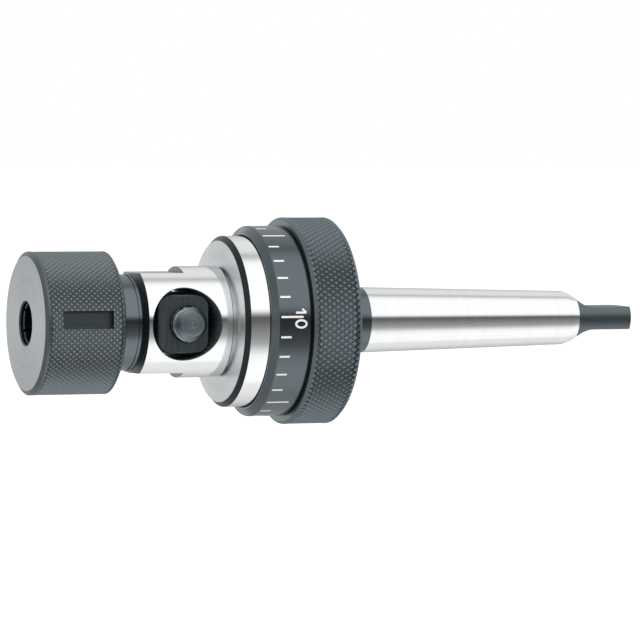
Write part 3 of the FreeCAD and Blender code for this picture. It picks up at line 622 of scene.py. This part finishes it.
RING_CREST = RING_RADIUS - CREST_MARGIN
CAP_CREST = CAP_RADIUS - CREST_MARGIN
CAP_DEPTH = CAP_KNURL["depth"]
RING_DEPTH = RING_KNURL["depth"]
SPINDLE_MIDDLE = Vector(((SPINDLE_LOW.x + SPINDLE_HIGH.x) / 2, 0, 0)) * MM

polished = turned_metal("polished_steel", steel(0.98, 0.01), 0.09, marks=0.12, mottle=0.04, bump=2e-7)
ground = turned_metal("ground_taper", steel(0.96, 0.015), 0.12, 0.15, 4000, 0.05, bump=4e-7)
satin = turned_metal("satin_steel", steel(0.38, 0.05), 0.3, marks=0.4, aniso=0.3)
dark_turned = turned_metal("dark_turned_steel", steel(0.1), 0.32, marks=0.4)
collar_steel = turned_metal("collar_steel", steel(0.17), 0.22, marks=0.3, bump=2e-6)
tang_steel = turned_metal("tang_steel", steel(0.17), 0.34, marks=0.3, bump=2e-6)
sleeve_steel = turned_metal("sleeve_steel", steel(0.19), 0.15, marks=0.3, bump=1e-6)
dial_steel = turned_metal("dial_steel", steel(0.165), 0.18, marks=0.2, bump=8e-7)
edge_steel = turned_metal("edge_steel", steel(0.21), 0.36, marks=0.3)
# Near-black turned steel: painted shade on the polished flange's front chamfer.
painted_shade_chamfer_steel = turned_metal("painted_shade_chamfer_steel", steel(0.05), 0.32, marks=0.3)
faced = turned_metal("faced_steel", steel(0.69, 0.03), 0.3, 0.15, 1500, aniso=0.85, bump=6e-7)
cap_face = turned_metal("cap_face_steel", steel(0.45, 0.06), 0.4, marks=0.2, aniso=0.3)
cap_edge = turned_metal("cap_edge_steel", steel(0.17), 0.42, marks=0.2)
cap_knurl = knurl_metal("cap_knurl_steel", steel(0.25, 0.13), steel(0.34, 0.13), 0.42, CAP_CREST, CAP_DEPTH)
ring_knurl = knurl_metal("ring_knurl_steel", steel(0.21), steel(0.3), 0.42, RING_CREST, RING_DEPTH)
# Near-black steel, used as painted shade for the shadowed gap between the jaws and their spindle.
painted_gap_shade = ground_metal("blackened_steel", steel(0.035), 0.35)
hole_steel = ground_metal("hole_steel", steel(0.35), 0.6)
# Darker turned steel: painted shade on the polished body's nose chamfer.
painted_shade_nose_steel = turned_metal("painted_shade_nose_steel", steel(0.2), 0.3, marks=0.3)
slot_steel = ground_metal("slot_steel", steel(0.13), 0.36, grain=(60, 4000, 4000))
jaw_steel = ground_metal("jaw_steel", steel(0.15), 0.4, grain=(2500, 60, 60))
flat_steel = ground_metal("wrench_flat_steel", steel(0.6, 0.04), 0.3, grain=(60, 3000, 60))
# A darker copy of the flats' milled steel: painted shade on the end walls of the wrench flats.
painted_shade_wall_steel = ground_metal("flat_wall_painted_shade", steel(0.12, 0.08), 0.2, grain=(60, 3000, 60))
spindle_steel = turned_metal("spindle_steel", steel(0.4), 0.3, 0.8, 1500, bump=2e-4, centre=SPINDLE_MIDDLE)
spring_steel = turned_metal("spring_steel", (0.38, 0.36, 0.33), 0.3, marks=0.3)
plate_steel = ground_metal("plate_steel", steel(0.55, 0.02), 0.35)
bronze = turned_metal("bronze", (0.72, 0.5, 0.26), 0.3, marks=0.3)
felt = felt_material("felt", (0.12, 0.12, 0.11))
white_fill = filled_paint("mark_fill", (0.99, 0.99, 0.98))


# The dressed pieces.

def make_cap():
    piece = cad_copy("clamp_cap", "knurled_cap", [dark_turned, cap_knurl, cap_face, slot_steel, cap_edge])
    start = CAP_LOW.x + CAP_CHAMFER + CAP_FRONT_LAND
    end = CAP_HIGH.x - CAP_CHAMFER - CAP_REAR_LAND
    combine(piece, knurled_bar("cap_bar", start, end, CAP_CREST, **CAP_KNURL), "INTERSECT", 1)
    paint(piece, 2, lambda c, r, n: c.x < CAP_LOW.x + FACE_MARGIN and n.x < -FACING)
    slot_start = CAP_LOW.x + SLOT_START
    slot_end = CAP_HIGH.x - SLOT_END

    def in_slot(c, r, n):
        return SLOT_INNER_RADIUS < r < SLOT_OUTER_RADIUS and slot_start < c.x < slot_end

    paint(piece, 3, in_slot)
    paint(piece, 4, lambda c, r, n: r > CAP_EDGE_RADIUS)
    shade_turned(piece, flat_indices=(1, 3))
    return finish_piece(piece, "clamp_cap")


def make_ring():
    piece = cad_copy("adjusting_ring", "knurled_ring", [dark_turned, ring_knurl, edge_steel])
    start = RING_FACE + RING_CHAMFER + RING_LAND
    end = RING_HIGH.x - RING_CHAMFER - RING_LAND
    combine(piece, knurled_bar("ring_bar", start, end, RING_CREST, **RING_KNURL), "INTERSECT", 1)
    paint(piece, 2, lambda c, r, n: r > DIAL_RADIUS)
    shade_turned(piece, flat_indices=(1,))
    return finish_piece(piece, "adjusting_ring")


def mark_tool(name, end, angle):
    """A box that cuts one straight mark along the axis."""
    depth = MARK_DEPTH + MARK_REACH
    size = (end - MARK_START, depth, MARK_WIDTH)
    place = ((MARK_START + end) / 2, -(DIAL_RADIUS - MARK_DEPTH + depth / 2), 0)
    return box_tool(name, size, place, math.radians(angle))


# The digits' middle lines: (share of the height, share of the half width), read from the foot.

ONE_LINES = [[(0, 0), (1, 0)], [(1, 0), (0.62, 1)]]
TWO_LINES = [
    [(0.78, 1), (0.93, 0.55), (1, 0), (0.93, -0.6), (0.76, -0.95), (0.58, -0.7), (0, 1), (0, -1)],
]
ZERO_TURNS = [math.tau * i / ZERO_SIDES for i in range(ZERO_SIDES)]
ZERO_LINES = [[(0.5 - 0.5 * math.cos(turn), math.sin(turn)) for turn in ZERO_TURNS + [0.0]]]
DIGIT_LINES = {"0": ZERO_LINES, "1": ONE_LINES, "2": TWO_LINES}


def stroke_tool(points, closed, angle):
    """A cutter of the mark's width along a line of (along, across) points in mm on the dial."""
    bm = bmesh.new()
    count = len(points)
    rows = []
    for i, spot in enumerate(points):
        arriving = spot - points[i - 1] if closed or i > 0 else points[i + 1] - spot
        leaving = points[(i + 1) % count] - spot if closed or i < count - 1 else arriving
        arriving, leaving = arriving.normalized(), leaving.normalized()
        mean = (arriving + leaving).normalized()
        side = Vector((-mean.y, mean.x)) / max(MITRE_LIMIT, mean.dot(leaving)) * MARK_WIDTH / 2
        row = []
        foot, top = -MARK_DEPTH, MARK_REACH
        for edge, lift in ((side, foot), (-side, foot), (-side, top), (side, top)):
            place = spot + edge
            turn = math.radians(angle) + place.y / DIAL_RADIUS
            row.append(bm.verts.new(on_cylinder(place.x, DIAL_RADIUS + lift, turn)))
        rows.append(row)
    following = rows[1:] + rows[:1] if closed else rows[1:]
    for near, far in zip(rows, following):
        bridge(bm, near, far)
    if not closed:
        bm.faces.new(rows[0])
        bm.faces.new(list(reversed(rows[-1])))
    return tool_object("stroke", bm)


def cut_digit(piece, digit, angle, across):
    """Cuts one digit, its top toward the tail and its left side upward."""
    for line in DIGIT_LINES[digit]:
        closed = line[0] == line[-1]
        shares = line[:-1] if closed else line
        points = []
        for rise, side in shares:
            along = DIGIT_BASE + rise * DIGIT_HEIGHT
            points.append(Vector((along, across + side * DIGIT_HALF_WIDTH)))
        combine(piece, stroke_tool(points, closed, angle), "DIFFERENCE", 1)


def make_dial():
    piece = cad_copy("dial_ring", "graduated_dial", [dial_steel, white_fill])
    step = 360 / DIAL_DIVISIONS
    ticks = []
    for i in range(DIAL_DIVISIONS):
        end = SHORT_MARK_END if i % DIAL_LONG_EVERY else LONG_MARK_END
        ticks.append(mark_tool(f"tick_{i}", end, DIAL_NUMBER_ANGLE + i * step))
    combine(piece, join_tools("ticks", ticks), "DIFFERENCE", 1)
    for i, number in enumerate(DIAL_NUMBERS):
        angle = DIAL_NUMBER_ANGLE + i * DIAL_NUMBER_EVERY * step
        if len(number) > 1:
            cut_digit(piece, number[0], angle, ONE_OFFSET if number[0] == "1" else WIDE_OFFSET)
        cut_digit(piece, number[-1], angle, -WIDE_OFFSET)
    shade_turned(piece, flat_indices=(1,))
    return finish_piece(piece, "dial_ring")


def make_flange():
    piece = cad_copy("clutch_flange", "polished_flange", [polished, faced, painted_shade_chamfer_steel])
    paint(piece, 1, lambda c, r, n: n.x < -FACING and c.x < FLANGE_LOW.x + FACE_MARGIN)
    # Painted shade: the flange's front chamfer is coloured near black.
    least, most = FLANGE_EDGE_LEAN
    edge_end = FLANGE_LOW.x + FLANGE_EDGE_WIDTH
    paint(piece, 2, lambda c, r, n: least < -n.x < most and c.x < edge_end and r > FLANGE_EDGE_RADIUS)
    shade_turned(piece)
    return finish_piece(piece, "clutch_flange")


def make_body():
    finishes = [polished, hole_steel, painted_shade_nose_steel, flat_steel, jaw_steel, painted_shade_wall_steel]
    piece = cad_copy("front_body", "polished_body", finishes)

    def from_hole(c):
        return math.hypot(c.x - CROSS_HOLE_X, c.z)

    def on_flat_wall(c, r, n):
        return n.x < -FACING and r > FLAT_WALL_START and abs(c.z) > FLAT_START

    def on_nose(c, r, n):
        return c.x < BODY_NOSE + BODY_NOSE_CHAMFER and n.x < -BODY_NOSE_LEAN and r > BODY_NOSE_BORE

    def on_hole_rim(c, r, n):
        least, most = CROSS_HOLE_RIM_LEAN
        return from_hole(c) < CROSS_HOLE_RADIUS + CROSS_HOLE_RIM and least < abs(n.y) < most

    paint(piece, 3, lambda c, r, n: abs(n.z) > FACING and abs(c.z) > FLAT_START)
    # Painted shade: the end walls of the wrench flats take a darker copy of the flats' finish.
    paint(piece, 5, on_flat_wall)
    # Painted shade: the polished body's nose chamfer is coloured dark.
    paint(piece, 2, on_nose)
    bore_end = CROSS_HOLE_RADIUS + CROSS_HOLE_MARGIN
    paint(piece, 1, lambda c, r, n: from_hole(c) < bore_end or r < BODY_BORE)
    paint(piece, 4, on_hole_rim)
    shade_turned(piece, flat_indices=(3, 5))
    return finish_piece(piece, "front_body")


def make_shank():
    piece = cad_copy("morse_shank", "tapered_shank", [ground, collar_steel, tang_steel])
    split_across(piece, TANG_START)
    paint(piece, 1, lambda c, r, n: c.x < COLLAR_END)
    paint(piece, 2, lambda c, r, n: c.x > TANG_START)
    shade_turned(piece, straight_from=TAPER_END)
    return finish_piece(piece, "morse_shank")


def thread_radius(crest, place, angle, hand):
    """The radius of a V thread at a place along it and round it; a hand of 1 is right, -1 left."""
    phase = (place / THREAD_PITCH + hand * angle / math.tau) % 1
    share = abs(phase - 0.5) / (0.5 - THREAD_CREST / 2)
    return crest - THREAD_DEPTH * max(0.0, 1 - share)


def make_holder():
    piece = cad_copy("collet_holder", "threaded_holder", [dark_turned, sleeve_steel])
    crest = HOLDER_THREAD_RADIUS - CREST_MARGIN

    def radius_at(x, angle):
        if x > HOLDER_THREAD_END:
            return HOLDER_HIGH.z + BAR_CLEARANCE
        fade = min(1.0, (HOLDER_THREAD_END - x) / THREAD_PITCH)
        return crest - fade * (crest - thread_radius(crest, x, angle, 1))

    end = HOLDER_HIGH.x + BAR_CLEARANCE
    start = HOLDER_LOW.x - BAR_CLEARANCE
    bar = radius_field("thread_bar", start, end, HOLDER_THREAD_STEPS, HOLDER_THREAD_SIDES, radius_at)
    combine(piece, bar, "INTERSECT", 0)
    paint(piece, 1, lambda c, r, n: c.x > HOLDER_THREAD_END + SLEEVE_GAP and r > SLEEVE_RADIUS)
    shade_turned(piece)
    return finish_piece(piece, "collet_holder")


def make_spindle():
    """The jaw spindle, with a right-hand thread on one side of its neck and a left-hand one beyond."""
    piece = cad_copy("jaw_spindle", "threaded_spindle", [spindle_steel, painted_gap_shade])
    crest = SPINDLE_RADIUS - CREST_MARGIN

    def radius_at(place, angle):
        if abs(place) < SPINDLE_THREAD_START:
            return crest + BAR_CLEARANCE
        return thread_radius(crest, place, angle, math.copysign(1, place))

    reach = SPINDLE_HIGH.y + BAR_CLEARANCE
    steps, sides = SPINDLE_THREAD_STEPS, SPINDLE_THREAD_SIDES
    bar = radius_field("spindle_bar", -reach, reach, steps, sides, radius_at)
    bar.data.transform(Matrix.Translation(SPINDLE_MIDDLE) @ Matrix.Rotation(math.pi / 2, 4, "Z"))
    combine(piece, bar, "INTERSECT", 0)
    middle = SPINDLE_MIDDLE.x / MM
    shade_from = SPINDLE_RADIUS - SPINDLE_SHADE_RIM
    # Painted shade: the spindle's rim by the jaws' bores is coloured near black for the shadow in the gap.
    paint(piece, 1, lambda c, r, n: math.hypot(c.x - middle, c.z) > shade_from)
    shade_turned(piece, origin=SPINDLE_MIDDLE, axis=AXIS_Y)
    return finish_piece(piece, "jaw_spindle")


def make_jaw(node, name):
    """A jaw with painted shade, a near-black rim round the bore of its spindle, for the shadow in the gap.
    """
    piece = cad_copy(node, name, [jaw_steel, painted_gap_shade])
    middle = SPINDLE_MIDDLE.x / MM
    rim = SPINDLE_RADIUS + JAW_SHADE_RIM
    paint(piece, 1, lambda c, r, n: abs(n.y) < JAW_FACING and math.hypot(c.x - middle, c.z) < rim)
    shade_turned(piece, origin=SPINDLE_MIDDLE, axis=AXIS_Y)
    return finish_piece(piece, node)


make_cap()
make_ring()
make_dial()
make_flange()
make_body()
make_shank()
make_holder()
make_spindle()
make_jaw("jaw_near", "near_jaw")
make_jaw("jaw_far", "far_jaw")


# The CAD nodes that stay, with their finishes.

FINISHES = {
    "pilot_bush": bronze,
    "dust_seal": felt,
    "tap_collet": dark_turned,
    "extractor_ring": spring_steel,
    "spindle_fork": jaw_steel,
    "spring_seat": satin,
    "needle_cage": bronze,
    "pressure_plate": plate_steel,
    "thrust_needles": polished,
    "lock_dowels": satin,
}
for node, obj in NODES.items():
    if obj.hide_render:
        continue
    other = spring_steel if node.startswith("disc_spring") else plate_steel
    obj.data.materials.clear()
    obj.data.materials.append(FINISHES.get(node, other))


# Stage and light.

FLOOR_HEIGHT = -0.12
FLOOR_SIZE = 24
FLOOR_GREY = 0.8
FLOOR_GLOW = 0.42

# The studio round the part for its reflections: level by angle in degrees, counted upward from the
# near side across the axis. A dark horizon lies near 0, white cards above and below it.
STUDIO_BANDS = (
    (-180, 0.4), (-154, 0.44), (-133, 0.62), (-114, 0.75), (-92, 0.8), (-85, 0.97), (-57, 1.0),
    (-44, 0.9), (-34, 0.58), (-28, 0.38), (-21, 0.3), (-8, 0.2), (2, 0.12), (8, 0.09), (12, 0.35),
    (16, 0.8), (20, 1.0), (76, 1.0), (88, 0.92), (96, 0.62), (102, 0.47), (108, 0.65), (114, 0.73),
    (134, 0.74), (152, 0.62), (180, 0.4),
)
STUDIO_STRENGTH = 1.07
DIFFUSE_LEVEL = 0.85

# The studio's dim left end and the pale card behind the part, with the starts and ends of their fades.
LEFT_FADE = (-0.42, -0.62)
LEFT_LEVEL = 0.28
LEFT_SHARE = 0.38
CARD_FADE_ACROSS = (0.16, -0.04)
CARD_FADE_BEHIND = (0.2, 0.5)
CARD_FADE_HEIGHT = (0.2, 0.55)
CARD_DIM_SHARE = 0.45
CARD_LEVEL = 1.0

LAMP_PLACE = (0.25, -0.35, 1.0)
LAMP_SIZE = (0.9, 0.6)
LAMP_POWER = 6


def make_floor():
    bm = bmesh.new()
    bmesh.ops.create_grid(bm, x_segments=1, y_segments=1, size=FLOOR_SIZE / 2)
    bmesh.ops.translate(bm, verts=bm.verts, vec=(0, 0, FLOOR_HEIGHT))
    floor = new_object("floor", bm)
    material, tree = start_material("floor_white")
    rays = add(tree, "ShaderNodeLightPath")
    paper = add(tree, "ShaderNodeBsdfDiffuse", {"Color": shades((1, 1, 1), FLOOR_GREY)})
    glow = add(tree, "ShaderNodeEmission", {"Color": (1, 1, 1, 1), "Strength": FLOOR_GLOW})
    both = add(tree, "ShaderNodeAddShader", {0: paper.outputs[0], 1: glow.outputs[0]})
    parts = {0: rays.outputs["Is Camera Ray"], 1: paper.outputs[0], 2: both.outputs[0]}
    seen = add(tree, "ShaderNodeMixShader", parts)
    add(tree, "ShaderNodeOutputMaterial", {"Surface": seen.outputs[0]})
    floor.data.materials.append(material)
    floor.visible_glossy = False


def make_world():
    """White for the camera, and for glossy and transmitted rays the same white with dark cards."""
    world = bpy.data.worlds.new("studio")
    bpy.context.scene.world = world
    world.use_nodes = True
    tree = world.node_tree
    tree.nodes.clear()
    direction = add(tree, "ShaderNodeTexCoord").outputs["Generated"]
    parts = add(tree, "ShaderNodeSeparateXYZ", {0: direction})
    toward = calculate(tree, "MULTIPLY", parts.outputs["Y"], -1.0)
    turn = calculate(tree, "ARCTAN2", parts.outputs["Z"], toward)
    ramp = add(tree, "ShaderNodeValToRGB", {"Fac": remap(tree, turn, -math.pi, math.pi, 0, 1)})
    elements = ramp.color_ramp.elements
    for i, (angle, level) in enumerate(STUDIO_BANDS):
        if i == 0:
            element = elements[0]
        elif i == len(STUDIO_BANDS) - 1:
            element = elements[len(elements) - 1]
        else:
            element = elements.new((angle + 180) / 360)
        element.color = (level, level, level, 1)
    across = remap(tree, parts.outputs["X"], *CARD_FADE_ACROSS, 0.0, CARD_LEVEL)
    behind = remap(tree, parts.outputs["Y"], *CARD_FADE_BEHIND, 0.0, 1.0)
    card = calculate(tree, "MULTIPLY", across, behind)
    height = calculate(tree, "ABSOLUTE", parts.outputs["Z"])
    dimmed = remap(tree, height, *CARD_FADE_HEIGHT, 1.0, CARD_DIM_SHARE)
    card = calculate(tree, "MULTIPLY", card, dimmed)
    bands = calculate(tree, "MAXIMUM", ramp.outputs["Color"], card)
    left = remap(tree, parts.outputs["X"], *LEFT_FADE, 0.0, 1.0)
    dim_bands = calculate(tree, "MULTIPLY_ADD", bands, LEFT_SHARE, LEFT_LEVEL)
    cards = remap(tree, left, 0.0, 1.0, bands, dim_bands)
    cards = calculate(tree, "MULTIPLY", cards, STUDIO_STRENGTH)
    rays = add(tree, "ShaderNodeLightPath").outputs
    camera = rays["Is Camera Ray"]
    mirrored = calculate(tree, "ADD", rays["Is Glossy Ray"], rays["Is Transmission Ray"])
    shown = remap(tree, camera, 0.0, 1.0, cards, 1.0)
    backdrop = calculate(tree, "MINIMUM", calculate(tree, "ADD", camera, mirrored), 1.0)
    level = remap(tree, backdrop, 0.0, 1.0, DIFFUSE_LEVEL, shown)
    studio = add(tree, "ShaderNodeBackground", {"Color": level, "Strength": 1.0})
    add(tree, "ShaderNodeOutputWorld", {"Surface": studio.outputs[0]})


def add_lamp(name, place, size, power):
    data = bpy.data.lights.new(name, "AREA")
    data.shape = "RECTANGLE"
    data.size, data.size_y = size
    data.energy = power
    lamp = bpy.data.objects.new(name, data)
    bpy.context.scene.collection.objects.link(lamp)
    lamp.visible_glossy = False
    lamp.location = place
    lamp.rotation_euler = (LOOK_AT - Vector(place)).to_track_quat("-Z", "Y").to_euler()


make_floor()
make_world()
add_lamp("top_box", LAMP_PLACE, LAMP_SIZE, LAMP_POWER)
make_camera()
bpy.context.scene.view_settings.view_transform = "Standard"
